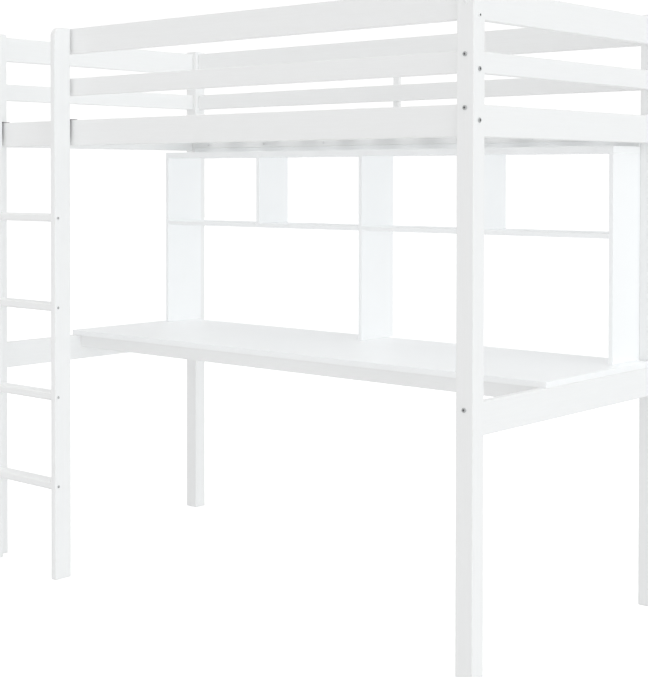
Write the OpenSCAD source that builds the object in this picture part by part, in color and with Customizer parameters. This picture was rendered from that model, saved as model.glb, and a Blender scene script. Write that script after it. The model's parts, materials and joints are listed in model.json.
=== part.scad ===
// Twin loft bed with a desk and a shelf unit below, and a hook-on ladder.
// X runs along the bed, Y from the ladder side to the back, Z up from the floor.
// The origin is the centre of the whole footprint, on the floor.

/* [Frame] */
// Length over the posts
bed_l = 2036; // [1700:1:2450]
// Width over the posts
bed_w = 1066; // [980:1:1400]
// Side of a square post
post_s = 53; // [44:1:66]
// Height of a post above the top guard rail
post_proud = 9; // [0:1:20]
// Thickness of every rail
rail_t = 24; // [22:0.5:30]
// Rounding of the long edges of boards
edge_r = 2; // [1:0.5:4]

/* [Sleeping deck] */
// Height of the side rails' underside above the floor
deck_z = 1444; // [1300:1:1750]
// Height of a side rail
side_rail_h = 85; // [76:1:110]
// Height of the middle guard rail
mid_guard_h = 58; // [46:1:80]
// Height of the top guard rail
top_guard_h = 85; // [70:1:110]
// Open gap above and below the middle guard rail
guard_gap = 81; // [66:1:95]
// Width of the short upright that ends the front guard
upright_w = 40; // [34:1:60]
// Distance from that upright to the ladder's near stringer
upright_gap = 20; // [10:1:40]
// Width of the stile in the middle of the back guard
stile_w = 25; // [20:1:40]
// Distance that the stile stops short of the rails' edges
stile_in = 12; // [5:1:20]
// Side of a square slat ledger
ledger_s = 25; // [22:1:30]
// Height of the ledgers above the side rails' underside
ledger_up = 9; // [6:1:12]
// Number of slats
slat_n = 11; // [6:1:11]
// Width of a slat
slat_w = 90; // [70:1:110]
// Thickness of a slat
slat_t = 18; // [15:1:20]
// Free play at each end of a slat
slat_play = 2; // [1:0.5:5]

/* [Desk] */
// Height of the desk rails' underside above the floor
desk_z = 659; // [560:1:760]
// Height of a desk rail
desk_rail_h = 90; // [75:1:110]
// Thickness of the desk top
desk_t = 18; // [15:1:25]
// Distance from the front of the bed to the desk's front edge
desk_front = 390; // [250:1:460]
// Gap between the desk's back edge and the back posts
desk_back_gap = 10; // [4:1:25]
// Height of an apron under the desk top
apron_h = 45; // [34:1:70]
// Thickness of an apron
apron_t = 18; // [16:1:25]
// Setback of the front apron from the desk's front edge
apron_in = 20; // [10:1:60]
// Setback of the back apron from the desk's back edge
back_apron_in = 60; // [50:1:120]

/* [Shelf unit] */
// Depth of the shelf unit
shelf_d = 185; // [150:1:230]
// Depth of the small dividers
divider_d = 165; // [120:1:185]
// Thickness of panels, shelf boards and dividers
panel_t = 15; // [15:0.5:20]
// Clear height between the desk top and the shelf boards
shelf_up = 384; // [280:1:480]
// Thickness of the shelf unit's top board
shelf_top_t = 22; // [18:1:28]
// Gap between the top board and the underside of the bed
shelf_gap = 10; // [4:1:30]
// Depth of the cleat that ties the top board to the bed
cleat_d = 20; // [15:1:30]

/* [Ladder] */
// Width over the stringers
ladder_w = 385; // [340:1:465]
// Distance from the far front post to the ladder
ladder_gap = 11; // [5:1:60]
// How far the ladder stands out in front of the posts
ladder_proud = 62; // [54:1:80]
// Thickness of a stringer
stringer_t = 23; // [20:0.5:30]
// Depth of a stringer
stringer_d = 68; // [58:1:80]
// Radius of a stringer's front top corner
stringer_r = 29; // [10:1:45]
// Number of treads
tread_n = 4; // [2:1:4]
// Height of the lowest tread's centre
tread_first = 310; // [220:1:340]
// Rise from tread to tread
tread_rise = 297.5; // [230:0.5:340]
// Thickness of a tread
tread_t = 26; // [22:1:34]
// Depth of a tread
tread_d = 58; // [50:1:58]
// Rounding of a tread's edges
tread_r = 6; // [3:0.5:9]
// Width of a hook
hook_w = 12; // [10:1:20]
// Thickness of the hook's steel
hook_t = 3; // [2:0.5:4]
// Length of the hook's plate on the stringer
hook_plate_h = 60; // [50:1:80]
// Length of the hook's lip behind the side rail
hook_lip_h = 25; // [15:1:28]

/* [Fasteners] */
// Diameter of a frame bolt
bolt_d = 6; // [5:0.5:8]
// Diameter of a frame bolt's head
bolt_head_d = 13; // [10:0.5:16]
// Height of a frame bolt's head
bolt_head_h = 3; // [2:0.5:5]
// Length of the spare bolt in the front left post
spare_l = 16; // [10:1:18]
// Diameter of a threaded insert in a rail's end
insert_d = 10; // [9:0.5:12]
// Length of a threaded insert
insert_l = 18; // [12:1:25]
// Depth of an insert below the rail's end
insert_in = 1; // [0.5:0.5:3]
// Distance from the edge of a bed rail to its bolt
bolt_edge = 10; // [9:0.5:14]
// Distance from the top of a desk rail to its bolt
desk_bolt_edge = 16; // [12:1:22]
// Diameter of a wooden dowel
dowel_d = 8; // [6:1:8]
// Length of a long dowel
dowel_l = 30; // [24:1:36]
// Depth of a short dowel in a panel or in the desk top
short_dowel_in = 7; // [5:0.5:7]
// Diameter of a wood screw
screw_d = 4; // [3:0.5:4.5]
// Diameter of a wood screw's head
screw_head_d = 8; // [7:0.5:9]
// Diameter of a tread screw
tread_screw_d = 5; // [4:0.5:6]
// Diameter of a tread screw's head
tread_head_d = 9; // [8:0.5:12]
// Length of a tread screw
tread_screw_l = 60; // [45:1:70]
// Distance from a stringer's front edge to its screws
tread_screw_in = 14; // [11:1:20]
// Clearance around a bolt in its bore
bolt_clear = 0.5; // [0.3:0.1:1]
// Clearance around a screw, dowel or insert
pin_clear = 0.15; // [0.1:0.05:0.3]
// Clearance between a hook and the side rail
hook_clear = 1; // [0.5:0.25:2]

/* [Hidden] */
$fn = 48;
SOFT_WHITE = "whitesmoke";
STEEL = "dimgray";
ZINC = "silver";
BEECH = "burlywood";

// Outer faces of the posts, and their inner faces along the bed
x_out = bed_l / 2;
x_in = x_out - post_s;
y_front = ladder_proud - (ladder_proud + bed_w + bolt_head_h) / 2;
y_back = y_front + bed_w;
inset = (post_s - rail_t) / 2;

// Levels of the rails: underside of each
mid_z = deck_z + side_rail_h + guard_gap;
top_z = mid_z + mid_guard_h + guard_gap;
guard_top = top_z + top_guard_h;
post_h = guard_top + post_proud;
deck_top = deck_z + side_rail_h;
desk_seat = desk_z + desk_rail_h;
desk_top_z = desk_seat + desk_t;

// Slats and their ledgers
ledger_z = deck_z + ledger_up;
slat_z = ledger_z + ledger_s;
slat_span = bed_w - 2 * (inset + rail_t) - 2 * slat_play;
slat_pitch = (2 * x_in - 2 * slat_play - slat_w) / (slat_n - 1);

// Desk and shelf unit
desk_y = y_front + desk_front;
desk_d = bed_w - post_s - desk_back_gap - desk_front;
desk_x = x_out - inset;
apron_x = desk_x - rail_t;
shelf_back = y_back - inset - rail_t;
shelf_y = shelf_back - shelf_d;
shelf_top_z = deck_z - shelf_gap - shelf_top_t;
shelf_z = desk_top_z + shelf_up;
bay = x_in - 1.5 * panel_t;
cleat_z = shelf_top_z + shelf_top_t;
cleat_h = ledger_z - cleat_z;

// Ladder
ladder_x = -x_in + ladder_gap;
ladder_y = y_front - ladder_proud;
ladder_back = ladder_y + stringer_d;
near_stringer_x = ladder_x + ladder_w - stringer_t;
upright_x = near_stringer_x - upright_gap - upright_w;
tread_y = ladder_y + (stringer_d - tread_d) / 2;
tread_x = ladder_x + stringer_t;
tread_l = ladder_w - 2 * stringer_t;
rail_front = y_front + inset;

// Fasteners
bolt_l = post_s + insert_in + insert_l;
screw_l = 32;
screw_head_h = 2.4;
ledger_screw_n = 7;
cleat_screw_n = 5;
socket_d = 5.8;
socket_h = 2;
overcut = 1;

// Corners of the frame as [left or right, front or back]
function post_x(sx) = sx * (x_out - post_s / 2);
function post_y(sy) = sy < 0 ? y_front + post_s / 2 : y_back - post_s / 2;
function face_y(sy) = sy < 0 ? y_front : y_back;

// Bolt heights: those along X and those along Y miss each other inside a post
side_x_bolt = deck_z + side_rail_h / 2;
side_y_bolt = deck_top - bolt_edge;
mid_x_bolt = mid_z + bolt_edge;
mid_y_bolt = mid_z + mid_guard_h - bolt_edge;
top_x_bolt = top_z + bolt_edge;
top_y_bolt = top_z + top_guard_h / 2;
desk_y_bolt = desk_seat - desk_bolt_edge;

// Each bolt is [left or right, front or back, 0 along X or 1 along Y, height]
BOLTS = concat(
    [for (sx = [-1, 1], sy = [-1, 1]) [sx, sy, 0, side_x_bolt]],
    [for (sx = [-1, 1], z = [mid_x_bolt, top_x_bolt]) [sx, 1, 0, z]],
    [for (z = [mid_x_bolt, top_x_bolt]) [1, -1, 0, z]],
    [for (sx = [-1, 1], sy = [-1, 1], z = [side_y_bolt, mid_y_bolt, top_y_bolt, desk_y_bolt])
        [sx, sy, 1, z]]
);

// Slats run from 1 at the left to slat_n at the right
function slat_x(i) = -x_in + slat_play + (i - 1) * slat_pitch;
function tread_z(i) = tread_first + (i - 1) * tread_rise;
function spread(n, half) = [for (i = [0 : n - 1]) -half + 2 * half * i / (n - 1)];

// Each dowel is [centre, direction, length]
rail_dowel = desk_t / 2 + 18;
DOWELS = concat(
    // upright on the side rail
    [for (s = [-1, 1]) [[upright_x + upright_w / 2 + s * upright_w / 4,
        rail_front + rail_t / 2, deck_top], [0, 0, 1], dowel_l]],
    // front guard rails in the upright
    [for (s = [-1, 1]) [[upright_x + upright_w, rail_front + rail_t / 2,
        mid_z + mid_guard_h / 2 + s * mid_guard_h / 4], [1, 0, 0], dowel_l]],
    [for (s = [-1, 1]) [[upright_x + upright_w, rail_front + rail_t / 2,
        top_z + top_guard_h / 2 + s * top_guard_h / 4], [1, 0, 0], dowel_l]],
    // desk top on the desk rails
    [for (sx = [-1, 1], y = spread(3, desk_d / 2 - 90)) [[sx * (desk_x - rail_t / 2),
        desk_y + desk_d / 2 + y, desk_seat - rail_dowel / 2 + desk_t / 2], [0, 0, 1], rail_dowel]],
    // aprons between the desk rails
    [for (sx = [-1, 1], y = apron_mid_y(), s = [-1, 1]) [[sx * apron_x, y,
        desk_seat - apron_h / 2 + s * apron_h / 4], [1, 0, 0], dowel_l]],
    // panels on the desk top and under the top board
    [for (x = panel_mid_x(), y = spread(2, shelf_d / 2 - 40)) each [
        [[x, min(shelf_y + shelf_d / 2 + y, desk_y + desk_d - 20), desk_top_z],
            [0, 0, 1], 2 * short_dowel_in],
        [[x, shelf_y + shelf_d / 2 + y, shelf_top_z], [0, 0, 1], 2 * short_dowel_in]]],
    // shelf boards between the panels
    [for (sx = [-1, 1], x = [panel_t / 2, x_in - panel_t], y = spread(2, shelf_d / 2 - 40))
        [[sx * x, shelf_y + shelf_d / 2 + y, shelf_z + panel_t / 2], [1, 0, 0], 2 * short_dowel_in]],
    // dividers between the shelf boards and the top board
    [for (sx = [-1, 1], z = [shelf_z + panel_t, shelf_top_z], y = spread(2, divider_d / 2 - 40))
        [[sx * (bay + panel_t) / 2, shelf_y + divider_d / 2 + y, z], [0, 0, 1], 2 * short_dowel_in]]
);
function apron_mid_y() = [desk_y + apron_in + apron_t / 2, desk_y + desk_d - back_apron_in - apron_t / 2];
function panel_mid_x() = [-x_in + panel_t / 2, 0, x_in - panel_t / 2];

// Each wood screw is [centre of its head's face, direction that the head faces]
slat_screw_y = slat_span / 2 + slat_play - ledger_s / 2;
SCREWS = concat(
    [for (i = [1 : slat_n], s = [-1, 1]) [[slat_x(i) + slat_w / 2,
        (y_front + y_back) / 2 + s * slat_screw_y, slat_z + slat_t], [0, 0, 1]]],
    [for (s = [-1, 1], x = spread(ledger_screw_n, x_in - slat_w * 0.9)) [[x,
        (y_front + y_back) / 2 + s * (bed_w / 2 - inset - rail_t - ledger_s),
        ledger_z + ledger_s / 2], [0, -s, 0]]],
    [for (x = spread(cleat_screw_n, x_in - 120)) [[x, shelf_back - cleat_d / 2, cleat_z], [0, 0, -1]]],
    [for (x = spread(cleat_screw_n, x_in - 180)) [[x, shelf_back - cleat_d / 2, shelf_top_z],
        [0, 0, -1]]],
    [for (z = [deck_z + side_rail_h / 2, mid_z + mid_guard_h / 2, top_z + top_guard_h / 2])
        [[0, y_back, z], [0, 1, 0]]]
);

module eased(w, h, r) {
    translate([r, 0]) square([w - 2 * r, h]);
    translate([0, r]) square([w, h - 2 * r]);
    for (x = [r, w - r], y = [r, h - r]) translate([x, y]) circle(r);
}

// Boards from their lowest corner, with the long edges eased
module board_x(at, size, r = edge_r)
    translate(at) rotate([90, 0, 90]) linear_extrude(size.x) eased(size.y, size.z, r);

module board_y(at, size, r = edge_r)
    translate(at + [0, size.y, 0]) rotate([90, 0, 0]) linear_extrude(size.y) eased(size.x, size.z, r);

module board_z(at, size, r = edge_r)
    translate(at) linear_extrude(size.z) eased(size.x, size.y, r);

// Places a child that points up so that it points along a unit vector
module aim(at, way)
    translate(at) rotate([0, acos(way.z), atan2(way.y, way.x)]) children();

module at_bolt(b)
    aim(b[2] == 0 ? [b[0] * x_out, post_y(b[1]), b[3]] : [post_x(b[0]), face_y(b[1]), b[3]],
        b[2] == 0 ? [b[0], 0, 0] : [0, b[1], 0]) children();

// Middle of the front left post's inner face, level with that post's top bolt
module at_spare()
    aim([-x_in, post_y(-1), top_y_bolt], [1, 0, 0]) children();

module bolt_bore(l)
    translate([0, 0, -l]) cylinder(d = bolt_d + 2 * bolt_clear, h = l + overcut);

module insert_bores(bolts)
    for (b = bolts) at_bolt(b) translate([0, 0, -bolt_l - pin_clear])
        cylinder(d = insert_d + 2 * pin_clear, h = bolt_l - post_s + pin_clear + overcut);

// Only the dowels or screws that reach into a box are bored in it
function reaches(p, way, l, lo, hi) = min([for (k = [0 : 2])
    min(max(p[k], p[k] + way[k] * l) - lo[k], hi[k] - min(p[k], p[k] + way[k] * l))]) > 0.01;

module dowel_bores(lo, hi)
    for (d = DOWELS) if (reaches(d[0] - d[1] * d[2] / 2, d[1], d[2], lo, hi)) aim(d[0], d[1])
        cylinder(d = dowel_d + 2 * pin_clear, h = d[2] + 2 * pin_clear, center = true);

module screw_shape(grow, lift)
    union() {
        translate([0, 0, -screw_l - grow]) cylinder(d = screw_d + 2 * grow, h = screw_l + grow);
        translate([0, 0, -screw_head_h]) cylinder(d = screw_head_d + 2 * grow, h = screw_head_h + lift);
    }

module screw_bores(lo, hi)
    for (s = SCREWS) if (reaches(s[0], -s[1], screw_l, lo, hi)) aim(s[0], s[1])
        screw_shape(pin_clear, overcut);

// A bed or desk rail along X or Y, between two posts unless it starts later
module rail_x(sy, z, h, x0 = -x_in) {
    at = [x0, post_y(sy) - rail_t / 2, z];
    bolts = [for (b = BOLTS)
        if (b[2] == 0 && b[1] == sy && b[3] > z && b[3] < z + h && b[0] * x_in >= x0) b];
    color(SOFT_WHITE) difference() {
        board_x(at, [x_in - x0, rail_t, h]);
        insert_bores(bolts);
        dowel_bores(at, at + [x_in - x0, rail_t, h]);
        screw_bores(at, at + [x_in - x0, rail_t, h]);
    }
}

module rail_y(sx, z, h) {
    l = bed_w - 2 * post_s;
    at = [post_x(sx) - rail_t / 2, y_front + post_s, z];
    bolts = [for (b = BOLTS) if (b[2] == 1 && b[0] == sx && b[3] > z && b[3] < z + h) b];
    color(SOFT_WHITE) difference() {
        board_y(at, [rail_t, l, h]);
        insert_bores(bolts);
        dowel_bores(at, at + [rail_t, l, h]);
    }
}

module post(sx, sy)
    color(SOFT_WHITE) difference() {
        board_z([post_x(sx) - post_s / 2, post_y(sy) - post_s / 2, 0], [post_s, post_s, post_h]);
        for (b = BOLTS) if (b[0] == sx && b[1] == sy) at_bolt(b) bolt_bore(bolt_l);
        if (sx < 0 && sy < 0) at_spare() bolt_bore(spare_l + bolt_clear);
    }

module guard_upright() {
    at = [upright_x, rail_front, deck_top];
    size = [upright_w, rail_t, guard_top - deck_top];
    color(SOFT_WHITE) difference() {
        board_z(at, size);
        dowel_bores(at, at + size);
    }
}

module back_stile() {
    low = deck_z + stile_in;
    at = [-stile_w / 2, y_back - inset, low];
    size = [stile_w, inset, guard_top - stile_in - low];
    color(SOFT_WHITE) difference() {
        board_z(at, size);
        screw_bores(at, at + size);
    }
}

module slat_ledger(sy) {
    y = sy < 0 ? y_front + inset + rail_t : y_back - inset - rail_t - ledger_s;
    at = [-x_in + slat_play, y, ledger_z];
    size = [2 * (x_in - slat_play), ledger_s, ledger_s];
    color(SOFT_WHITE) difference() {
        board_x(at, size);
        screw_bores(at, at + size);
    }
}

module slat(i) {
    at = [slat_x(i), y_front + inset + rail_t + slat_play, slat_z];
    size = [slat_w, slat_span, slat_t];
    color(SOFT_WHITE) difference() {
        board_y(at, size);
        screw_bores(at, at + size);
    }
}

module desk_top() {
    at = [-desk_x, desk_y, desk_seat];
    size = [2 * desk_x, desk_d, desk_t];
    color(SOFT_WHITE) difference() {
        board_x(at, size);
        dowel_bores(at, at + size);
    }
}

module desk_apron(mid_y) {
    at = [-apron_x, mid_y - apron_t / 2, desk_seat - apron_h];
    size = [2 * apron_x, apron_t, apron_h];
    color(SOFT_WHITE) difference() {
        board_x(at, size);
        dowel_bores(at, at + size);
    }
}

module shelf_panel(mid_x) {
    at = [mid_x - panel_t / 2, shelf_y, desk_top_z];
    size = [panel_t, shelf_d, shelf_top_z - desk_top_z];
    color(SOFT_WHITE) difference() {
        board_z(at, size, edge_r / 2);
        dowel_bores(at, at + size);
    }
}

module shelf_board(sx) {
    at = [sx < 0 ? -x_in + panel_t : panel_t / 2, shelf_y, shelf_z];
    size = [bay, shelf_d, panel_t];
    color(SOFT_WHITE) difference() {
        board_x(at, size, edge_r / 2);
        dowel_bores(at, at + size);
    }
}

module shelf_divider(sx) {
    at = [sx * (bay + panel_t) / 2 - panel_t / 2, shelf_y, shelf_z + panel_t];
    size = [panel_t, divider_d, shelf_top_z - shelf_z - panel_t];
    color(SOFT_WHITE) difference() {
        board_z(at, size, edge_r / 2);
        dowel_bores(at, at + size);
    }
}

module shelf_top() {
    at = [-x_in, shelf_y, shelf_top_z];
    size = [2 * x_in, shelf_d, shelf_top_t];
    color(SOFT_WHITE) difference() {
        board_x(at, size);
        dowel_bores(at, at + size);
        screw_bores(at, at + size);
    }
}

module shelf_cleat() {
    at = [-x_in, shelf_back - cleat_d, cleat_z];
    size = [2 * x_in, cleat_d, cleat_h];
    color(SOFT_WHITE) difference() {
        board_x(at, size, edge_r / 2);
        screw_bores(at, at + size);
    }
}

// Ladder fixings: a screw near the front and a dowel near the back of each tread end
module at_tread_ends(y)
    for (i = [1 : tread_n], s = [-1, 1])
        translate([s < 0 ? ladder_x : ladder_x + ladder_w, y, tread_z(i)])
            rotate([0, s * 90, 0]) children();

module tread_screw_shape(grow, lift) {
    translate([0, 0, -tread_screw_l - grow])
        cylinder(d = tread_screw_d + 2 * grow, h = tread_screw_l + grow);
    translate([0, 0, -bolt_head_h]) cylinder(d = tread_head_d + 2 * grow, h = bolt_head_h + lift);
}

module tread_dowel_shape(grow)
    translate([0, 0, -stringer_t])
        cylinder(d = dowel_d + 2 * grow, h = stringer_t + 2 * grow, center = true);

module ladder_bores() {
    at_tread_ends(ladder_y + tread_screw_in) tread_screw_shape(pin_clear, overcut);
    at_tread_ends(ladder_back - tread_screw_in) tread_dowel_shape(pin_clear);
}

module at_hook_screws()
    for (x = [ladder_x, near_stringer_x], z = [hook_plate_h - 10, hook_plate_h / 2])
        translate([x + stringer_t / 2, ladder_back + hook_t, deck_top - z]) rotate([-90, 0, 0]) children();

module hook_screw_shape(grow) {
    translate([0, 0, -screw_l]) cylinder(d = screw_d + 2 * grow, h = screw_l + grow);
    cylinder(d = screw_head_d, h = screw_head_h);
}

module stringer(x) {
    color(SOFT_WHITE) difference() {
        translate([x, ladder_y, 0]) rotate([90, 0, 90]) linear_extrude(stringer_t) {
            translate([stringer_r, 0]) square([stringer_d - stringer_r, guard_top]);
            square([stringer_d, guard_top - stringer_r]);
            translate([stringer_r, guard_top - stringer_r]) circle(stringer_r);
        }
        ladder_bores();
        at_hook_screws() hook_screw_shape(pin_clear);
    }
}

module tread(i)
    color(SOFT_WHITE) difference() {
        board_x([tread_x, tread_y, tread_z(i) - tread_t / 2], [tread_l, tread_d, tread_t], tread_r);
        ladder_bores();
    }

// A bent steel hook: plate on the stringer, bridge over the side rail, and lip behind it
module ladder_hook(x) {
    lip_y = rail_front + rail_t + hook_clear;
    color(STEEL) difference() {
        translate([x + (stringer_t - hook_w) / 2, 0, deck_top]) {
            translate([0, ladder_back, -hook_plate_h]) cube([hook_w, hook_t, hook_plate_h + hook_t]);
            translate([0, ladder_back, 0]) cube([hook_w, lip_y + hook_t - ladder_back, hook_t]);
            translate([0, lip_y, -hook_lip_h]) cube([hook_w, hook_t, hook_lip_h + hook_t]);
        }
        at_hook_screws() hook_screw_shape(pin_clear);
    }
}

module bolt(l) {
    translate([0, 0, -l]) cylinder(d = bolt_d, h = l);
    difference() {
        cylinder(d = bolt_head_d, h = bolt_head_h);
        translate([0, 0, bolt_head_h - socket_h]) cylinder(d = socket_d, h = socket_h + overcut, $fn = 6);
    }
}

module frame_bolts()
    color(STEEL) {
        for (b = BOLTS) at_bolt(b) bolt(bolt_l);
        at_spare() bolt(spare_l);
    }

// Each insert is a threaded sleeve that its bolt runs into
module thread_inserts()
    color(ZINC) for (b = BOLTS) at_bolt(b) translate([0, 0, -bolt_l]) difference() {
        cylinder(d = insert_d, h = insert_l);
        translate([0, 0, -overcut]) cylinder(d = bolt_d + 2 * pin_clear, h = insert_l + 2 * overcut);
    }

module wood_dowels()
    color(BEECH) for (d = DOWELS) aim(d[0], d[1]) cylinder(d = dowel_d, h = d[2], center = true);

module wood_screws()
    color(ZINC) for (s = SCREWS) aim(s[0], s[1]) screw_shape(0, 0);

module tread_screws()
    color(STEEL) at_tread_ends(ladder_y + tread_screw_in) tread_screw_shape(0, 0);

module tread_dowels()
    color(BEECH) at_tread_ends(ladder_back - tread_screw_in) tread_dowel_shape(0);

module hook_screws()
    color(STEEL) at_hook_screws() hook_screw_shape(0);

post(-1, -1);  // post_front_left
post(1, -1);  // post_front_right
post(-1, 1);  // post_back_left
post(1, 1);  // post_back_right
rail_x(-1, deck_z, side_rail_h);  // side_rail_front
rail_x(1, deck_z, side_rail_h);  // side_rail_back
rail_y(-1, deck_z, side_rail_h);  // end_rail_left
rail_y(1, deck_z, side_rail_h);  // end_rail_right
rail_x(-1, mid_z, mid_guard_h, upright_x + upright_w);  // guard_front_mid
rail_x(-1, top_z, top_guard_h, upright_x + upright_w);  // guard_front_top
rail_x(1, mid_z, mid_guard_h);  // guard_back_mid
rail_x(1, top_z, top_guard_h);  // guard_back_top
rail_y(-1, mid_z, mid_guard_h);  // guard_left_mid
rail_y(-1, top_z, top_guard_h);  // guard_left_top
rail_y(1, mid_z, mid_guard_h);  // guard_right_mid
rail_y(1, top_z, top_guard_h);  // guard_right_top
guard_upright();
back_stile();
slat_ledger(-1);  // slat_ledger_front
slat_ledger(1);  // slat_ledger_back
for (i = [1 : slat_n]) slat(i);
rail_y(-1, desk_z, desk_rail_h);  // desk_rail_left
rail_y(1, desk_z, desk_rail_h);  // desk_rail_right
desk_apron(apron_mid_y()[0]);  // desk_apron_front
desk_apron(apron_mid_y()[1]);  // desk_apron_back
desk_top();
shelf_panel(panel_mid_x()[0]);  // shelf_panel_left
shelf_panel(panel_mid_x()[1]);  // shelf_panel_mid
shelf_panel(panel_mid_x()[2]);  // shelf_panel_right
shelf_board(-1);  // shelf_board_left
shelf_board(1);  // shelf_board_right
shelf_divider(-1);  // shelf_divider_left
shelf_divider(1);  // shelf_divider_right
shelf_top();
shelf_cleat();
stringer(ladder_x);  // ladder_stringer_left
stringer(near_stringer_x);  // ladder_stringer_right
for (i = [1 : tread_n]) tread(i);
ladder_hook(ladder_x);  // ladder_hook_left
ladder_hook(near_stringer_x);  // ladder_hook_right
frame_bolts();
thread_inserts();
wood_dowels();
wood_screws();
tread_screws();
tread_dowels();
hook_screws();
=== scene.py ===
"""Loft bed with a desk, a shelf unit and a hook-on ladder, finished in painted wood around its CAD frame."""

import json
import math

import bmesh
import bpy
from bpy.props import FloatProperty, FloatVectorProperty, PointerProperty
from mathutils import Matrix, Vector


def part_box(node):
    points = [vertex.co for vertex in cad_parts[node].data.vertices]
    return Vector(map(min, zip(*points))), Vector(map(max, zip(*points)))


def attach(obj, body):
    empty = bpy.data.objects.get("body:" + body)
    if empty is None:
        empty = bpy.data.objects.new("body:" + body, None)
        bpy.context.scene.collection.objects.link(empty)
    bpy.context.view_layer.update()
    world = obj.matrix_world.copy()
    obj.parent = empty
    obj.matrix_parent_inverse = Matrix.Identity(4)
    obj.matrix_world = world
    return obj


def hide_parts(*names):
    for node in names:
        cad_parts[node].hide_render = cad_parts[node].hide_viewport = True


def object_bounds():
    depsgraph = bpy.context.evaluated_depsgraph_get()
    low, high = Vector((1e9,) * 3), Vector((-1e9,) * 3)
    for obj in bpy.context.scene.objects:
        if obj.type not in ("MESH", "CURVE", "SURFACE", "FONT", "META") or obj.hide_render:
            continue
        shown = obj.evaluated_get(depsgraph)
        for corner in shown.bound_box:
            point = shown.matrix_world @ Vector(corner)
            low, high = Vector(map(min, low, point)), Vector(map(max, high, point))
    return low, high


bl_info = {
    "name": "Loft bed with desk",
    "version": (1, 0, 0),
    "blender": (4, 5, 0),
    "location": "3D View > Sidebar > Loft Bed",
    "description": "Builds the painted woodwork, fixings and studio of a loft bed around its CAD frame",
    "category": "Object",
}

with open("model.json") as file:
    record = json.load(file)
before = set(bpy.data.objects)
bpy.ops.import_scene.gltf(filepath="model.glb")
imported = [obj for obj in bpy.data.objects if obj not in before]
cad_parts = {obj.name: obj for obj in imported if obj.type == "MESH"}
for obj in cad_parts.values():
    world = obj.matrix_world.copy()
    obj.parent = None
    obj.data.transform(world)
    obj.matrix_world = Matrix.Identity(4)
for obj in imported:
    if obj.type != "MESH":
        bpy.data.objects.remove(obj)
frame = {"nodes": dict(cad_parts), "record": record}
CAD_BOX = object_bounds()
NODE_SLOT = {part["node"]: part["material_slot"] for part in frame["record"]["subparts"]}
NODE_BODY = {node: body for body, nodes in frame["record"]["behaviour"]["bodies"].items() for node in nodes}

MM = 0.001
AXES = "XYZ"
MERGE_DISTANCE = 0.001 * MM
SHARP_ANGLE = math.radians(35)
CORNER_ANGLE = math.radians(60)
FLAT_ANGLE = math.radians(1)
ROUND_SEGMENTS = 3
TREAD_SEGMENTS = 6
CORNER_SEGMENTS = 12
TURNED_SEGMENTS = 32
HEX = 6

# Tints under worn paint and lacquer, and in the wood's pores
PORE_TINT = Vector((0.8, 0.79, 0.765))
WORN_PAINT = Vector((0.78, 0.765, 0.735))
WORN_LACQUER = Vector((0.79, 0.785, 0.77))

# Studio: where the four side panels stand, how soft they are and how large the floor is
SIDE_WAYS = ((1, -0.1, 0.25), (-1, 0.1, 0.25), (0.1, 1, 0.25), (-0.1, -1, 0.25))
SOFT_ANGLE = math.radians(70)
PANEL_DISTANCE = 3
WHITE = (1.0, 1.0, 1.0)
COOL = (0.96, 1.0, 1.015)
BACKDROP_STRENGTH = 1.1
SENSOR_WIDTH = 36.0
FLOOR_REACH = 30.0

SIDE_RAILS = ["side_rail_front", "side_rail_back", "end_rail_left", "end_rail_right",
              "desk_rail_left", "desk_rail_right"]
GUARDS = [f"guard_{side}_{level}" for side in ("front", "back", "left", "right") for level in ("mid", "top")]
POSTS = [f"post_{row}_{side}" for row in ("front", "back") for side in ("left", "right")]
SLATS = sorted(node for node in frame["nodes"] if node.startswith("slat_") and "ledger" not in node)
LEDGERS = ["slat_ledger_front", "slat_ledger_back"]
PANELS = ["shelf_panel_left", "shelf_panel_mid", "shelf_panel_right"]
SHELVES = ["shelf_board_left", "shelf_board_right", "shelf_divider_left", "shelf_divider_right",
           "shelf_top", "shelf_cleat"]
STRINGERS = ["ladder_stringer_left", "ladder_stringer_right"]
TREADS = sorted(node for node in frame["nodes"] if node.startswith("ladder_tread_"))
HOOKS = ["ladder_hook_left", "ladder_hook_right"]


class LoftWoodSettings(bpy.types.PropertyGroup):
    """Edges and finish of the woodwork."""

    rail_round: FloatProperty(
        name="Rail rounding", description="Radius on the edges of posts and rails",
        default=3 * MM, min=0.5 * MM, max=6 * MM, unit="LENGTH")
    board_round: FloatProperty(
        name="Board rounding", description="Radius on the edges of the desk top, panels and shelves",
        default=1.5 * MM, min=0.5 * MM, max=4 * MM, unit="LENGTH")
    slat_round: FloatProperty(
        name="Slat rounding", description="Radius on the edges of slats and ledgers",
        default=2.5 * MM, min=0.5 * MM, max=4 * MM, unit="LENGTH")
    tread_round: FloatProperty(
        name="Tread rounding", description="Radius on the long edges of the ladder's treads",
        default=7 * MM, min=2 * MM, max=11 * MM, unit="LENGTH")
    stringer_corner: FloatProperty(
        name="Stringer corner", description="Radius of each stringer's front top corner",
        default=29 * MM, min=10 * MM, max=45 * MM, unit="LENGTH")
    paint: FloatVectorProperty(
        name="Paint", description="Colour of the painted solid wood",
        subtype="COLOR", size=3, default=(0.89, 0.895, 0.895), min=0, max=1)
    lacquer: FloatVectorProperty(
        name="Lacquer", description="Colour of the lacquered desk top and shelf boards",
        subtype="COLOR", size=3, default=(0.94, 0.95, 0.955), min=0, max=1)
    beech: FloatVectorProperty(
        name="Beech", description="Colour of the bare dowels",
        subtype="COLOR", size=3, default=(0.62, 0.43, 0.25), min=0, max=1)


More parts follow.
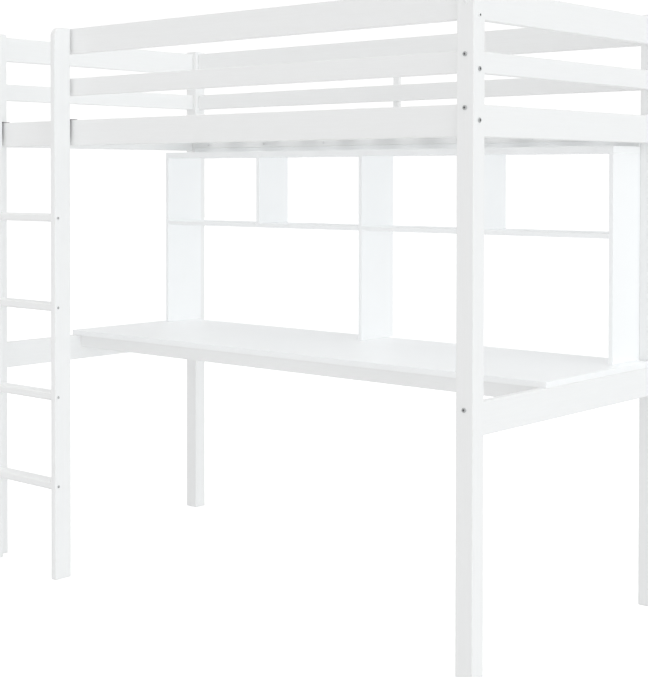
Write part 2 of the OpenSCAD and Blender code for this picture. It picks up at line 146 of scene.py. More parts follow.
class LoftSteelSettings(bpy.types.PropertyGroup):
    """Colours and details of the metal fixings."""

    # This dark colour is also painted into the bolt heads' hex sockets as shade.
    dark: FloatVectorProperty(
        name="Dark steel", description="Colour of the coated hooks, tread screws and bolt sockets",
        subtype="COLOR", size=3, default=(0.17, 0.17, 0.175), min=0, max=1)
    nickel: FloatVectorProperty(
        name="Nickel", description="Colour of the plated bolt heads",
        subtype="COLOR", size=3, default=(0.42, 0.43, 0.43), min=0, max=1)
    cover_above: FloatProperty(
        name="Covers above", description="Bolt heads higher than this are painted over like the wood",
        default=1.75, min=0, max=3, unit="LENGTH")
    zinc: FloatVectorProperty(
        name="Zinc", description="Colour of the plated screws and threaded inserts",
        subtype="COLOR", size=3, default=(0.62, 0.62, 0.6), min=0, max=1)
    socket_width: FloatProperty(
        name="Hex socket", description="Width across the corners of a bolt's hex socket",
        default=6.2 * MM, min=4 * MM, max=8 * MM, unit="LENGTH")
    hook_round: FloatProperty(
        name="Hook rounding", description="Radius on the edges of the hooks' strip",
        default=0.6 * MM, min=0.2 * MM, max=1 * MM, unit="LENGTH")


class LoftStageSettings(bpy.types.PropertyGroup):
    """Camera, floor and lights."""

    eye: FloatVectorProperty(
        name="Eye", description="Where the camera stands",
        subtype="TRANSLATION", size=3, default=(3.087, -3.6595, 1.341))
    turn: FloatProperty(
        name="Turn", description="How far the camera turns left from looking along +Y",
        default=math.radians(43.22), subtype="ANGLE")
    tilt: FloatProperty(
        name="Tilt", description="How far the camera looks down",
        default=math.radians(1.0), subtype="ANGLE")
    lens: FloatProperty(
        name="Lens", description="Focal length on a 36 mm sensor, in millimetres",
        default=76.63, min=20, max=200)
    shift_x: FloatProperty(name="Shift across", description="Sideways lens shift", default=0.1536)
    shift_y: FloatProperty(name="Shift up", description="Vertical lens shift", default=-0.2024)
    floor: FloatVectorProperty(
        name="Floor", description="Colour of the pale floor",
        subtype="COLOR", size=3, default=(0.8, 0.8, 0.8), min=0, max=1)
    floor_glow: FloatProperty(
        name="Floor glow", description="Extra brightness of the floor as it is seen directly",
        default=0.4, min=0, max=1)
    room: FloatProperty(
        name="Room light", description="Strength of the even light from all round",
        default=0.62, min=0, max=3)
    key: FloatProperty(
        name="Key light", description="Power of the one light that casts soft shadows, in watts",
        default=3, min=0, max=500)
    key_place: FloatVectorProperty(
        name="Key light's place", description="Where the key light hangs",
        subtype="TRANSLATION", size=3, default=(-0.4, -3.7, 1.9))
    key_size: FloatProperty(
        name="Key light's size", description="Diameter of the key light",
        default=2.4, min=0.2, max=6, unit="LENGTH")
    sides: FloatVectorProperty(
        name="Side panels", description="Strength of the light panels on +X, -X, +Y and -Y",
        size=4, default=(1.1, 0.05, 0.05, 0.35), min=0, max=10)
    above: FloatProperty(
        name="Light panel above", description="Strength of the light panel overhead",
        default=0.78, min=0, max=10)
    below: FloatProperty(
        name="Light panel below", description="Strength of the light thrown up by the floor",
        default=0.5, min=0, max=10)


# Shared shader groups


def new_group(name, inputs, outputs):
    group = bpy.data.node_groups.new(name, "ShaderNodeTree")
    for label, kind, value in inputs:
        socket = group.interface.new_socket(name=label, in_out="INPUT", socket_type=kind)
        if value is not None:
            socket.default_value = value
    for label, kind in outputs:
        group.interface.new_socket(name=label, in_out="OUTPUT", socket_type=kind)
    return group, group.nodes.new("NodeGroupInput"), group.nodes.new("NodeGroupOutput")


def node_at(tree, kind, **values):
    node = tree.nodes.new(kind)
    for key, value in values.items():
        if key.startswith("in_"):
            node.inputs[key[3:].replace("_", " ")].default_value = value
        else:
            setattr(node, key, value)
    return node


def math_node(tree, operation, a, b):
    node = node_at(tree, "ShaderNodeMath", operation=operation)
    for socket, value in zip(node.inputs, (a, b)):
        if isinstance(value, (int, float)):
            socket.default_value = value
        else:
            tree.links.new(value, socket)
    return node.outputs["Value"]


def noise_node(tree, vector, scale, detail, roughness=0.5, distortion=0.0):
    node = node_at(tree, "ShaderNodeTexNoise", in_Detail=detail, in_Roughness=roughness,
                   in_Distortion=distortion)
    tree.links.new(vector, node.inputs["Vector"])
    if isinstance(scale, (int, float)):
        node.inputs["Scale"].default_value = scale
    else:
        tree.links.new(scale, node.inputs["Scale"])
    return node.outputs["Fac"]


def grain_group():
    """Wood grain that shows through paint: long soft figure and fine pore lines."""
    if "Grain" in bpy.data.node_groups:
        return bpy.data.node_groups["Grain"]
    group, ins, outs = new_group(
        "Grain",
        [("Vector", "NodeSocketVector", None), ("Scale", "NodeSocketFloat", 60.0)],
        [("Figure", "NodeSocketFloat"), ("Pores", "NodeSocketFloat")])
    figure = noise_node(group, ins.outputs["Vector"], ins.outputs["Scale"], 3.0, 0.55, 0.6)
    fine = math_node(group, "MULTIPLY", ins.outputs["Scale"], 5.0)
    pores = noise_node(group, ins.outputs["Vector"], fine, 4.0, 0.65, 0.2)
    ramp = node_at(group, "ShaderNodeMapRange", in_From_Min=0.42, in_From_Max=0.62)
    group.links.new(pores, ramp.inputs["Value"])
    group.links.new(figure, outs.inputs["Figure"])
    group.links.new(ramp.outputs["Result"], outs.inputs["Pores"])
    return group


def stipple_group():
    """The fine orange-peel that a roller or spray gun leaves."""
    if "Stipple" in bpy.data.node_groups:
        return bpy.data.node_groups["Stipple"]
    group, ins, outs = new_group(
        "Stipple",
        [("Vector", "NodeSocketVector", None), ("Scale", "NodeSocketFloat", 600.0)],
        [("Relief", "NodeSocketFloat"), ("Cloud", "NodeSocketFloat")])
    relief = noise_node(group, ins.outputs["Vector"], ins.outputs["Scale"], 2.0, 0.5)
    coarse = math_node(group, "MULTIPLY", ins.outputs["Scale"], 0.012)
    cloud = noise_node(group, ins.outputs["Vector"], coarse, 3.0, 0.6, 0.4)
    group.links.new(relief, outs.inputs["Relief"])
    group.links.new(cloud, outs.inputs["Cloud"])
    return group


def edge_rub_group():
    """Thin paint along rounded edges, broken up so that it isn't an even line."""
    if "Edge rub" in bpy.data.node_groups:
        return bpy.data.node_groups["Edge rub"]
    group, ins, outs = new_group(
        "Edge rub",
        [("Vector", "NodeSocketVector", None), ("Mask", "NodeSocketFloat", 0.0),
         ("Amount", "NodeSocketFloat", 0.5)],
        [("Rub", "NodeSocketFloat")])
    patches = noise_node(group, ins.outputs["Vector"], 38.0, 4.0, 0.6, 0.3)
    ramp = node_at(group, "ShaderNodeMapRange", in_From_Min=0.4, in_From_Max=0.7)
    group.links.new(patches, ramp.inputs["Value"])
    masked = math_node(group, "MULTIPLY", ramp.outputs["Result"], ins.outputs["Mask"])
    scaled = math_node(group, "MULTIPLY", masked, ins.outputs["Amount"])
    group.links.new(scaled, outs.inputs["Rub"])
    return group


def place_group(tree, group, vector, **values):
    node = node_at(tree, "ShaderNodeGroup", node_tree=group)
    tree.links.new(vector, node.inputs["Vector"])
    for label, value in values.items():
        node.inputs[label].default_value = value
    return node


def new_material(name, **principled):
    material = bpy.data.materials.new(name)
    material.use_nodes = True
    shader = material.node_tree.nodes["Principled BSDF"]
    for label, value in principled.items():
        shader.inputs[label.replace("_", " ")].default_value = value
    return material, material.node_tree, shader


def object_vector(tree, stretch=(1.0, 1.0, 1.0)):
    coords = tree.nodes.new("ShaderNodeTexCoord")
    mapping = node_at(tree, "ShaderNodeMapping", in_Scale=stretch)
    tree.links.new(coords.outputs["Object"], mapping.inputs["Vector"])
    return mapping.outputs["Vector"]


def blend_colour(tree, factor, first, second, strength):
    """first, shaded towards second by factor times strength."""
    mix = node_at(tree, "ShaderNodeMix", data_type="RGBA")
    amount = math_node(tree, "MULTIPLY", factor, strength)
    tree.links.new(amount, mix.inputs["Factor"])
    for socket, value in ((mix.inputs[6], first), (mix.inputs[7], second)):
        if isinstance(value, bpy.types.NodeSocket):
            tree.links.new(value, socket)
        else:
            socket.default_value = (*value, 1.0)
    return mix.outputs[2]


def ranged(tree, value, low, high, start=0.3, end=0.7):
    node = node_at(tree, "ShaderNodeMapRange", in_From_Min=start, in_From_Max=end, in_To_Min=low,
                   in_To_Max=high)
    tree.links.new(value, node.inputs["Value"])
    return node.outputs["Result"]


def bump_from(tree, shader, height, distance, strength):
    bump = node_at(tree, "ShaderNodeBump", in_Strength=strength, in_Distance=distance)
    tree.links.new(height, bump.inputs["Height"])
    tree.links.new(bump.outputs["Normal"], shader.inputs["Normal"])


def along(axis, squeeze):
    """Mapping scale that draws a pattern out along one axis."""
    scale = [1.0, 1.0, 1.0]
    scale[axis] = squeeze
    return tuple(scale)


def painted_wood(axis):
    """Satin white paint on solid wood whose grain runs along an axis."""
    name = f"White paint, grain along {AXES[axis]}"
    if name in bpy.data.materials:
        return bpy.data.materials[name]
    wood = bpy.context.scene.loft_wood
    material, tree, shader = new_material(name, Specular_IOR_Level=0.42)
    stretched = object_vector(tree, along(axis, 0.035))
    plain = object_vector(tree)
    grain = place_group(tree, grain_group(), stretched, Scale=70.0)
    stipple = place_group(tree, stipple_group(), plain, Scale=520.0)
    rub = place_group(tree, edge_rub_group(), plain, Amount=0.55)
    mask = node_at(tree, "ShaderNodeAttribute", attribute_name="edge_rub")
    tree.links.new(mask.outputs["Fac"], rub.inputs["Mask"])
    paint = Vector(wood.paint)
    figured = blend_colour(tree, grain.outputs["Figure"], paint, paint * 0.972, 1.0)
    pored = blend_colour(tree, grain.outputs["Pores"], figured, PORE_TINT, 0.1)
    rubbed = blend_colour(tree, rub.outputs["Rub"], pored, WORN_PAINT, 0.5)
    tree.links.new(rubbed, shader.inputs["Base Color"])
    tree.links.new(ranged(tree, stipple.outputs["Cloud"], 0.36, 0.46), shader.inputs["Roughness"])
    grain_height = math_node(tree, "MULTIPLY", grain.outputs["Pores"], 0.6)
    stipple_height = math_node(tree, "MULTIPLY", stipple.outputs["Relief"], 0.35)
    bump_from(tree, shader, math_node(tree, "ADD", grain_height, stipple_height), 0.12 * MM, 0.45)
    return material


def lacquered_board(axis):
    """Smooth white lacquer on board, with only a fine orange-peel."""
    name = f"White lacquer, along {AXES[axis]}"
    if name in bpy.data.materials:
        return bpy.data.materials[name]
    wood = bpy.context.scene.loft_wood
    material, tree, shader = new_material(name, Specular_IOR_Level=0.35)
    plain = object_vector(tree)
    drawn = object_vector(tree, along(axis, 0.25))
    stipple = place_group(tree, stipple_group(), plain, Scale=700.0)
    grain = place_group(tree, grain_group(), drawn, Scale=26.0)
    rub = place_group(tree, edge_rub_group(), plain, Amount=0.35)
    mask = node_at(tree, "ShaderNodeAttribute", attribute_name="edge_rub")
    tree.links.new(mask.outputs["Fac"], rub.inputs["Mask"])
    lacquer = Vector(wood.lacquer)
    clouded = blend_colour(tree, stipple.outputs["Cloud"], lacquer, lacquer * 0.975, 0.8)
    rubbed = blend_colour(tree, rub.outputs["Rub"], clouded, WORN_LACQUER, 0.5)
    tree.links.new(rubbed, shader.inputs["Base Color"])
    tree.links.new(ranged(tree, grain.outputs["Figure"], 0.44, 0.54), shader.inputs["Roughness"])
    bump_from(tree, shader, stipple.outputs["Relief"], 0.05 * MM, 0.6)
    return material


def coated_steel(name, colour):
    """Coated or plated steel for bolts and hooks, worn a little brighter on its rims."""
    if name in bpy.data.materials:
        return bpy.data.materials[name]
    material, tree, shader = new_material(name, Metallic=0.85)
    plain = object_vector(tree)
    stipple = place_group(tree, stipple_group(), plain, Scale=1400.0)
    rub = place_group(tree, edge_rub_group(), plain, Amount=1.0)
    mask = node_at(tree, "ShaderNodeAttribute", attribute_name="edge_rub")
    tree.links.new(mask.outputs["Fac"], rub.inputs["Mask"])
    clouded = blend_colour(tree, stipple.outputs["Cloud"], Vector(colour), Vector(colour) * 1.4, 0.8)
    worn = blend_colour(tree, rub.outputs["Rub"], clouded, Vector(colour) * 1.6, 0.5)
    tree.links.new(worn, shader.inputs["Base Color"])
    tree.links.new(ranged(tree, stipple.outputs["Relief"], 0.32, 0.52), shader.inputs["Roughness"])
    bump_from(tree, shader, stipple.outputs["Relief"], 0.04 * MM, 0.5)
    return material


def zinc_steel():
    """Bright zinc plating with a faint mottled bloom."""
    if "Zinc plated steel" in bpy.data.materials:
        return bpy.data.materials["Zinc plated steel"]
    steel = bpy.context.scene.loft_steel
    material, tree, shader = new_material("Zinc plated steel", Metallic=1.0)
    plain = object_vector(tree)
    stipple = place_group(tree, stipple_group(), plain, Scale=2200.0)
    zinc = Vector(steel.zinc)
    clouded = blend_colour(tree, stipple.outputs["Cloud"], zinc, zinc * 0.72, 1.0)
    tree.links.new(clouded, shader.inputs["Base Color"])
    tree.links.new(ranged(tree, stipple.outputs["Relief"], 0.24, 0.42), shader.inputs["Roughness"])
    bump_from(tree, shader, stipple.outputs["Relief"], 0.02 * MM, 0.5)
    return material


def bare_beech():
    """Plain beech for the dowels, flecked along the grain."""
    if "Bare beech" in bpy.data.materials:
        return bpy.data.materials["Bare beech"]
    wood = bpy.context.scene.loft_wood
    material, tree, shader = new_material("Bare beech")
    grain = place_group(tree, grain_group(), object_vector(tree, (1.0, 1.0, 0.3)), Scale=160.0)
    beech = Vector(wood.beech)
    figured = blend_colour(tree, grain.outputs["Figure"], beech, beech * 0.7, 1.0)
    flecked = blend_colour(tree, grain.outputs["Pores"], figured, beech * 0.45, 0.5)
    tree.links.new(flecked, shader.inputs["Base Color"])
    tree.links.new(ranged(tree, grain.outputs["Pores"], 0.55, 0.75), shader.inputs["Roughness"])
    bump_from(tree, shader, grain.outputs["Pores"], 0.08 * MM, 0.6)
    return material


# Shared mesh work


def box_mesh(low, high):
    bm = bmesh.new()
    bmesh.ops.create_cube(bm, size=1.0)
    bmesh.ops.scale(bm, vec=high - low, verts=bm.verts)
    bmesh.ops.translate(bm, vec=(low + high) / 2, verts=bm.verts)
    return bm


def round_edges(bm, edges, radius, segments=ROUND_SEGMENTS):
    bmesh.ops.bevel(bm, geom=edges, offset=radius, offset_type="OFFSET", segments=segments,
                    profile=0.5, affect="EDGES", clamp_overlap=True, material=-1)


def longest_axis(low, high):
    size = high - low
    return max(range(3), key=lambda axis: size[axis])


def edges_along(bm, axis):
    """Straight edges that run along one axis."""
    return [e for e in bm.edges if abs((e.verts[0].co - e.verts[1].co).normalized()[axis]) > 0.999]


def finish_mesh(bm, name):
    """Marks sharp edges and rounded faces, and turns the bmesh into a smooth-shaded object."""
    bmesh.ops.recalc_face_normals(bm, faces=bm.faces)
    for edge in bm.edges:
        edge.smooth = edge.is_boundary or edge.calc_face_angle(0.0) < SHARP_ANGLE
    mask = bm.loops.layers.float.new("edge_rub")
    for face in bm.faces:
        face.smooth = True
        rounded = max(abs(part) for part in face.normal) < 0.998
        for loop in face.loops:
            loop[mask] = 1.0 if rounded else 0.0
    mesh = bpy.data.meshes.new(name)
    bm.to_mesh(mesh)
    bm.free()
    piece = bpy.data.objects.new(name, mesh)
    bpy.context.scene.collection.objects.link(piece)
    return piece


def settle(piece, nodes, material):
    """Gives a piece its first material and its place in the frame."""
    piece.data.materials.append(material)
    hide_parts(*nodes)
    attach(piece, NODE_BODY[nodes[0]])
    return piece


def soften(piece):
    """Keeps the wide faces flat and lets only the rounded edges turn the light."""
    weighted = piece.modifiers.new("Flat faces", "WEIGHTED_NORMAL")
    weighted.keep_sharp = True
    weighted.weight = 80


def wood_finish(node, axis):
    return lacquered_board(axis) if NODE_SLOT[node] == "white_board" else painted_wood(axis)


def board(node, radius):
    """One board, rounded on every edge, in the box of its CAD node."""
    low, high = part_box(node)
    bm = box_mesh(low, high)
    round_edges(bm, bm.edges[:], radius)
    piece = finish_mesh(bm, f"finished_{node}")
    soften(piece)
    return settle(piece, [node], wood_finish(node, longest_axis(low, high)))


def aimed(point, direction):
    """The transform that carries +Z at the origin to a direction at a point."""
    return Matrix.Translation(point) @ direction.to_track_quat("Z", "Y").to_matrix().to_4x4()


def islands(node):
    """The vertex positions of each separate solid in a CAD node."""
    bm = bmesh.new()
    bm.from_mesh(frame["nodes"][node].data)
    bmesh.ops.remove_doubles(bm, verts=bm.verts, dist=MERGE_DISTANCE)
    left, found = set(bm.verts), []
    while left:
        group, edge_of = set(), [next(iter(left))]
        while edge_of:
            vert = edge_of.pop()
            if vert not in group:
                group.add(vert)
                edge_of.extend(edge.other_vert(vert) for edge in vert.link_edges)
        left -= group
        found.append([vert.co.copy() for vert in group])
    bm.free()
    return sorted(found, key=lambda points: tuple(round(sum(p[k] for p in points) / len(points), 4)
                                                  for k in range(3)))


def shaft(points):
    """(end at the widest part, direction out of that end, length, widest diameter) of a solid."""
    low = Vector([min(p[k] for p in points) for k in range(3)])
    high = Vector([max(p[k] for p in points) for k in range(3)])
    axis = longest_axis(low, high)
    middle = (low + high) / 2
    across = [k for k in range(3) if k != axis]
    reach = [math.hypot(*(p[k] - middle[k] for k in across)) for p in points]
    widest = [p[axis] for p, r in zip(points, reach) if r > 0.97 * max(reach)]
    sign = 1.0 if sum(widest) / len(widest) >= middle[axis] else -1.0
    direction = Vector([sign if k == axis else 0.0 for k in range(3)])
    end = middle.copy()
    end[axis] = high[axis] if sign > 0 else low[axis]
    return end, direction, high[axis] - low[axis], 2 * max(reach)


def ring(bm, radius, z, count=TURNED_SEGMENTS):
    made = bmesh.ops.create_circle(bm, cap_ends=False, segments=count, radius=radius)
    bmesh.ops.translate(bm, vec=(0, 0, z), verts=made["verts"])
    return made["verts"]


def cross_ring(bm, arm, width, z):
    """A plus-shaped outline for a screwdriver recess."""
    corners = [(arm, width), (width, width), (width, arm)]
    verts = []
    for turn in range(4):
        spin = Matrix.Rotation(turn * math.pi / 2, 3, "Z")
        verts += [bm.verts.new(spin @ Vector((x, y, z))) for x, y in corners]
    for k, vert in enumerate(verts):
        bm.edges.new((vert, verts[(k + 1) % len(verts)]))
    return verts


def bridge(bm, first, second):
    wanted = (set(first), set(second))
    edges = [e for e in bm.edges if any(set(e.verts) <= part for part in wanted)]
    bmesh.ops.bridge_loops(bm, edges=edges)


def turned(bm, recess, profile):
    """A round piece: recess outlines from the floor up, then rings of (radius, z) down to the tip."""
    rings = list(recess) + [ring(bm, radius, z) for radius, z in profile]
    for first, second in zip(rings, rings[1:]):
        bridge(bm, first, second)
    for rim in (rings[0], rings[-1]):
        bm.faces.new(rim)


def fixings(name, node, build, finish=None):
    """One piece that holds every fixing of a CAD node, each shaped by build(bm, length, width).

    finish(centre, end, direction), where given, picks a face's material while the fixing stands at the origin.
    """
    bm = bmesh.new()
    for points in islands(node):
        end, direction, length, width = shaft(points)
        part = bmesh.new()
        build(part, length, width)
        if finish:
            for face in part.faces:
                face.material_index = finish(face.calc_center_median(), end, direction)
        bmesh.ops.transform(part, matrix=aimed(end, direction), verts=part.verts)
        mesh = bpy.data.meshes.new("fixing")
        part.to_mesh(mesh)
        part.free()
        bm.from_mesh(mesh)
        bpy.data.meshes.remove(mesh)
    return finish_mesh(bm, name)


# Operators


class LOFTBED_OT_posts(bpy.types.Operator):
    """Build the four corner posts"""

    bl_idname = "loftbed.posts"
    bl_label = "Posts"

    def execute(self, context):
        for node in POSTS:
            board(node, context.scene.loft_wood.rail_round)
        return {"FINISHED"}


class LOFTBED_OT_rails(bpy.types.Operator):
    """Build the bed rails, the desk rails and the guards"""

    bl_idname = "loftbed.rails"
    bl_label = "Rails and guards"

    def execute(self, context):
        wood = context.scene.loft_wood
        for node in SIDE_RAILS + GUARDS:
            board(node, wood.rail_round)
        board("guard_upright", wood.rail_round)
        board("back_stile", wood.board_round)
        return {"FINISHED"}


class LOFTBED_OT_slats(bpy.types.Operator):
    """Build the mattress slats and the ledgers that carry them"""

    bl_idname = "loftbed.slats"
    bl_label = "Slats"

    def execute(self, context):
        for node in SLATS + LEDGERS:
            board(node, context.scene.loft_wood.slat_round)
        return {"FINISHED"}


class LOFTBED_OT_desk(bpy.types.Operator):
    """Build the desk top and its aprons"""

    bl_idname = "loftbed.desk"
    bl_label = "Desk"

    def execute(self, context):
        wood = context.scene.loft_wood
        board("desk_top", wood.board_round)
        for node in ("desk_apron_front", "desk_apron_back"):
            board(node, wood.slat_round)
        return {"FINISHED"}


class LOFTBED_OT_shelves(bpy.types.Operator):
    """Build the shelf unit's panels, boards, dividers and cleat"""

    bl_idname = "loftbed.shelves"
    bl_label = "Shelf unit"

    def execute(self, context):
        for node in PANELS + SHELVES:
            board(node, context.scene.loft_wood.board_round)
        return {"FINISHED"}


class LOFTBED_OT_ladder(bpy.types.Operator):
    """Build the ladder's stringers and treads"""

    bl_idname = "loftbed.ladder"
    bl_label = "Ladder"

    def execute(self, context):
        wood = context.scene.loft_wood
        for node in STRINGERS:
            self.stringer(node, wood)
        for node in TREADS:
            self.tread(node, wood)
        return {"FINISHED"}

    def stringer(self, node, wood):
        """One side of the ladder, with its front top corner rounded."""
        low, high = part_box(node)
        bm = box_mesh(low, high)
        corner = [e for e in edges_along(bm, 0)
                  if all(v.co.y < low.y + MM and v.co.z > high.z - MM for v in e.verts)]
        round_edges(bm, corner, wood.stringer_corner, CORNER_SEGMENTS)
        rims = [e for e in bm.edges if e.calc_face_angle(0.0) > CORNER_ANGLE]
        round_edges(bm, rims, wood.rail_round)
        piece = finish_mesh(bm, f"finished_{node}")
        soften(piece)
        settle(piece, [node], painted_wood(2))

    def tread(self, node, wood):
        """One tread, well rounded along its length."""
        low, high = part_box(node)
        bm = box_mesh(low, high)
        round_edges(bm, edges_along(bm, 0), wood.tread_round, TREAD_SEGMENTS)
        piece = finish_mesh(bm, f"finished_{node}")
        soften(piece)
        settle(piece, [node], painted_wood(0))


class LOFTBED_OT_hooks(bpy.types.Operator):
    """Build the bent steel hooks that hang the ladder on the side rail"""

    bl_idname = "loftbed.hooks"
    bl_label = "Ladder hooks"

    def execute(self, context):
        steel = context.scene.loft_steel
        for node in HOOKS:
            bm = bmesh.new()
            bm.from_mesh(frame["nodes"][node].data)
            bmesh.ops.remove_doubles(bm, verts=bm.verts, dist=MERGE_DISTANCE)
            bmesh.ops.dissolve_limit(bm, angle_limit=FLAT_ANGLE, verts=bm.verts, edges=bm.edges)
            long = [e for axis in range(3) for e in edges_along(bm, axis)
                    if e.calc_length() > 2 * MM and e.calc_face_angle(0.0) > CORNER_ANGLE]
            round_edges(bm, long, steel.hook_round, 2)
            piece = finish_mesh(bm, f"finished_{node}")
            soften(piece)
            settle(piece, [node], coated_steel("Dark coated steel and socket shade", steel.dark))
        return {"FINISHED"}


class LOFTBED_OT_fixings(bpy.types.Operator):
    """Build the bolts and screws, and finish the hidden inserts and dowels"""

    bl_idname = "loftbed.fixings"
    bl_label = "Fixings"

    def execute(self, context):
        steel = context.scene.loft_steel
        dark = coated_steel("Dark coated steel and socket shade", steel.dark)
        pieces = (
            ("finished_wood_screws", "wood_screws", self.wood_screw, zinc_steel()),
            ("finished_tread_screws", "tread_screws", self.tread_screw, dark),
            ("finished_hook_screws", "hook_screws", self.hook_screw, dark),
        )
        self.socket, self.cover_above = steel.socket_width / 2, steel.cover_above
        bolts = fixings("finished_frame_bolts", "frame_bolts", self.bolt, self.bolt_finish)
        settle(bolts, ["frame_bolts"], coated_steel("Nickel plated steel", steel.nickel))
        # Slot 1 paints the highest heads over; slot 2 paints each socket dark as painted shade.
        for material in (painted_wood(2), dark):
            bolts.data.materials.append(material)
        for name, node, build, material in pieces:
            settle(fixings(name, node, build), [node], material)
        frame["nodes"]["thread_inserts"].material_slots[0].material = zinc_steel()
        for node in ("wood_dowels", "tread_dowels"):
            frame["nodes"][node].material_slots[0].material = bare_beech()
        return {"FINISHED"}

    def bolt(self, bm, length, width):
        """A low round head with a hex socket and a chamfered edge, on a plain shank."""
        head, rim, shank = 3 * MM, width / 2, 3 * MM
        recess = [ring(bm, self.socket * 0.96, -2.1 * MM, HEX), ring(bm, self.socket, -0.2 * MM, HEX),
                  ring(bm, self.socket + 0.25 * MM, 0, HEX)]
        turned(bm, recess, [(rim - 0.9 * MM, 0), (rim - 0.45 * MM, -0.15 * MM),
                            (rim - 0.12 * MM, -0.5 * MM), (rim, -1.0 * MM), (rim, -head),
                            (shank, -head), (shank, 1.2 * MM - length), (shank - 0.8 * MM, -length)])

    def bolt_finish(self, centre, end, direction):
        """0 for plating, 1 for paint over the highest heads, 2 for the socket's faces, painted dark steel as
        the shade in the recess.
        """
        # A socket's floor and walls take the dark steel: painted shade for the recess.
        in_socket = math.hypot(centre.x, centre.y) < self.socket * 0.98 and centre.z > -2.5 * MM
        if end.z > self.cover_above and (abs(direction.y) > 0.5 or not in_socket):
            return 1
        return 2 if in_socket else 0

    def cross_head(self, bm, width, depth):
        """The outlines of a cross recess, from its floor up."""
        arm = width * 0.3
        return [cross_ring(bm, arm * 0.55, 0.3 * MM, -depth),
                cross_ring(bm, arm, 0.55 * MM, 0)]

    def wood_screw(self, bm, length, width):
        """A countersunk screw with a tapered point."""
        rim, shank = width / 2, 2 * MM
        turned(bm, self.cross_head(bm, width, 1.6 * MM),
               [(rim - 0.25 * MM, 0), (rim, -0.25 * MM), (rim, -0.6 * MM), (shank, -2.4 * MM),
                (shank, 5 * MM - length), (0.3 * MM, -length)])

    def tread_screw(self, bm, length, width):
        """A screw with a straight-sided head that sits in a counterbore."""
        rim, shank = width / 2, 2.5 * MM
        turned(bm, self.cross_head(bm, width, 1.8 * MM),
               [(rim - 0.3 * MM, 0), (rim, -0.3 * MM), (rim, -2.2 * MM), (shank, -3 * MM),
                (shank, 6 * MM - length), (0.4 * MM, -length)])

    def hook_screw(self, bm, length, width):
        """A short screw with a low domed head."""
        rim, shank, head = width / 2, 2 * MM, 2.4 * MM
        turned(bm, self.cross_head(bm, width, 1.4 * MM),
               [(rim - 1.4 * MM, 0), (rim - 0.5 * MM, -0.4 * MM), (rim, -1.4 * MM), (rim, -head),
                (shank, -head), (shank, 5 * MM - length), (0.3 * MM, -length)])


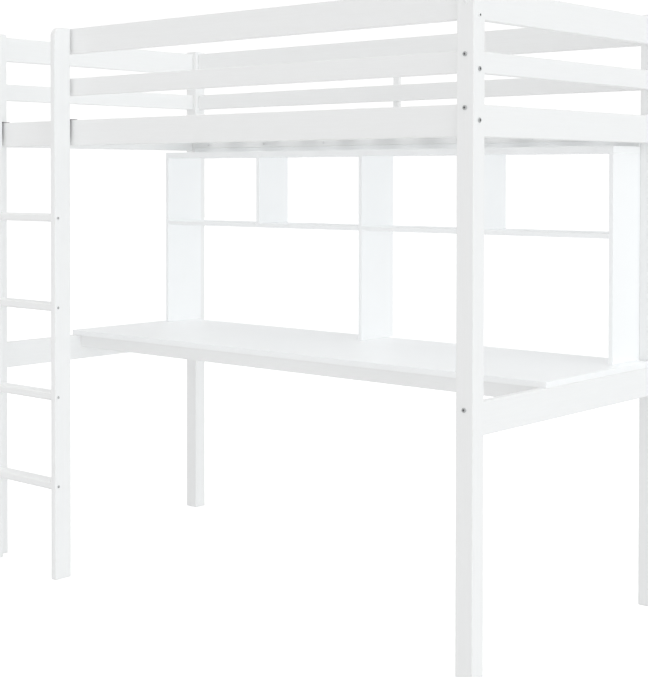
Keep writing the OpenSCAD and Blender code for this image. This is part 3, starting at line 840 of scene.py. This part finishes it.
class LOFTBED_OT_stage(bpy.types.Operator):
    """Set up the pale floor, soft lights, surroundings and camera"""

    bl_idname = "loftbed.stage"
    bl_label = "Stage"

    def execute(self, context):
        stage = context.scene.loft_stage
        self.floor(stage)
        self.world(context.scene, stage)
        self.key_light(stage)
        for way, strength in zip(SIDE_WAYS, stage.sides):
            self.panel_light("Side panel", way, strength)
        self.panel_light("Panel above", (0, 0, 1), stage.above)
        self.panel_light("Panel below", (0, 0, -1), stage.below)
        self.camera(context.scene, stage)
        context.scene.view_settings.view_transform = "Standard"
        return {"FINISHED"}

    def floor(self, stage):
        bm = bmesh.new()
        bmesh.ops.create_grid(bm, x_segments=1, y_segments=1, size=FLOOR_REACH)
        mesh = bpy.data.meshes.new("Floor")
        bm.to_mesh(mesh)
        bm.free()
        floor = bpy.data.objects.new("Floor", mesh)
        bpy.context.scene.collection.objects.link(floor)
        material, tree, shader = new_material("Pale floor", Roughness=0.9)
        shader.inputs["Emission Color"].default_value = (1, 1, 1, 1)
        seen = tree.nodes.new("ShaderNodeLightPath")
        glow = math_node(tree, "MULTIPLY", seen.outputs["Is Camera Ray"], stage.floor_glow)
        tree.links.new(glow, shader.inputs["Emission Strength"])
        cloud = noise_node(tree, object_vector(tree), 1.4, 3.0)
        shade = blend_colour(tree, cloud, Vector(stage.floor), Vector(stage.floor) * 0.985, 1.0)
        tree.links.new(shade, shader.inputs["Base Color"])
        mesh.materials.append(material)

    def world(self, scene, stage):
        world = bpy.data.worlds.new("Studio")
        scene.world = world
        world.use_nodes = True
        tree = world.node_tree
        room = tree.nodes["Background"]
        room.inputs["Color"].default_value = (1, 1, 1, 1)
        room.inputs["Strength"].default_value = stage.room
        backdrop = node_at(tree, "ShaderNodeBackground", in_Color=(1, 1, 1, 1), in_Strength=BACKDROP_STRENGTH)
        seen = tree.nodes.new("ShaderNodeLightPath")
        mix = tree.nodes.new("ShaderNodeMixShader")
        tree.links.new(seen.outputs["Is Camera Ray"], mix.inputs["Fac"])
        tree.links.new(room.outputs["Background"], mix.inputs[1])
        tree.links.new(backdrop.outputs["Background"], mix.inputs[2])
        tree.links.new(mix.outputs["Shader"], tree.nodes["World Output"].inputs["Surface"])

    def hang(self, lamp, place, way):
        """Puts a light at a place, shining against a direction."""
        holder = bpy.data.objects.new(lamp.name, lamp)
        holder.location = place
        holder.rotation_mode = "QUATERNION"
        holder.rotation_quaternion = way.to_track_quat("Z", "Y")
        bpy.context.scene.collection.objects.link(holder)

    def key_light(self, stage):
        """The one lamp that casts shadows: a big disk in front of the ladder side."""
        lamp = bpy.data.lights.new("Key", "AREA")
        lamp.shape = "DISK"
        lamp.size = stage.key_size
        lamp.energy = stage.key
        middle = (CAD_BOX[0] + CAD_BOX[1]) / 2
        self.hang(lamp, stage.key_place, Vector(stage.key_place) - middle)

    def panel_light(self, name, way, strength):
        """An even shadowless light from a direction, a little cooler from the right."""
        lamp = bpy.data.lights.new(name, "SUN")
        lamp.angle = SOFT_ANGLE
        lamp.energy = strength
        lamp.use_shadow = False
        lamp.color = COOL if way[0] > 0.9 else WHITE
        self.hang(lamp, Vector(way) * PANEL_DISTANCE, Vector(way))

    def camera(self, scene, stage):
        data = bpy.data.cameras.new("Camera")
        data.sensor_width = SENSOR_WIDTH
        data.lens = stage.lens
        data.shift_x = stage.shift_x
        data.shift_y = stage.shift_y
        camera = bpy.data.objects.new("Camera", data)
        camera.location = stage.eye
        camera.rotation_euler = (math.pi / 2 - stage.tilt, 0, stage.turn)
        scene.collection.objects.link(camera)
        scene.camera = camera


class LOFTBED_PT_build(bpy.types.Panel):
    """Lists the steps that build the loft bed"""

    bl_idname = "LOFTBED_PT_build"
    bl_label = "Loft bed with desk"
    bl_space_type = "VIEW_3D"
    bl_region_type = "UI"
    bl_category = "Loft Bed"

    def draw(self, context):
        for group in (context.scene.loft_wood, context.scene.loft_steel, context.scene.loft_stage):
            column = self.layout.column(align=True)
            for name in group.bl_rna.properties.keys():
                if name not in ("rna_type", "name"):
                    column.prop(group, name)
        for operator in OPERATORS:
            self.layout.operator(operator.bl_idname)


SETTINGS = (LoftWoodSettings, LoftSteelSettings, LoftStageSettings)
OPERATORS = (LOFTBED_OT_posts, LOFTBED_OT_rails, LOFTBED_OT_slats, LOFTBED_OT_desk, LOFTBED_OT_shelves,
             LOFTBED_OT_ladder, LOFTBED_OT_hooks, LOFTBED_OT_fixings, LOFTBED_OT_stage)
CLASSES = SETTINGS + OPERATORS + (LOFTBED_PT_build,)


def register():
    for item in CLASSES:
        bpy.utils.register_class(item)
    bpy.types.Scene.loft_wood = PointerProperty(type=LoftWoodSettings)
    bpy.types.Scene.loft_steel = PointerProperty(type=LoftSteelSettings)
    bpy.types.Scene.loft_stage = PointerProperty(type=LoftStageSettings)


def unregister():
    del bpy.types.Scene.loft_stage
    del bpy.types.Scene.loft_steel
    del bpy.types.Scene.loft_wood
    for item in reversed(CLASSES):
        bpy.utils.unregister_class(item)


def main():
    register()
    bpy.ops.loftbed.posts()
    bpy.ops.loftbed.rails()
    bpy.ops.loftbed.slats()
    bpy.ops.loftbed.desk()
    bpy.ops.loftbed.shelves()
    bpy.ops.loftbed.ladder()
    bpy.ops.loftbed.hooks()
    bpy.ops.loftbed.fixings()
    bpy.ops.loftbed.stage()


if __name__ == "__main__":
    main()
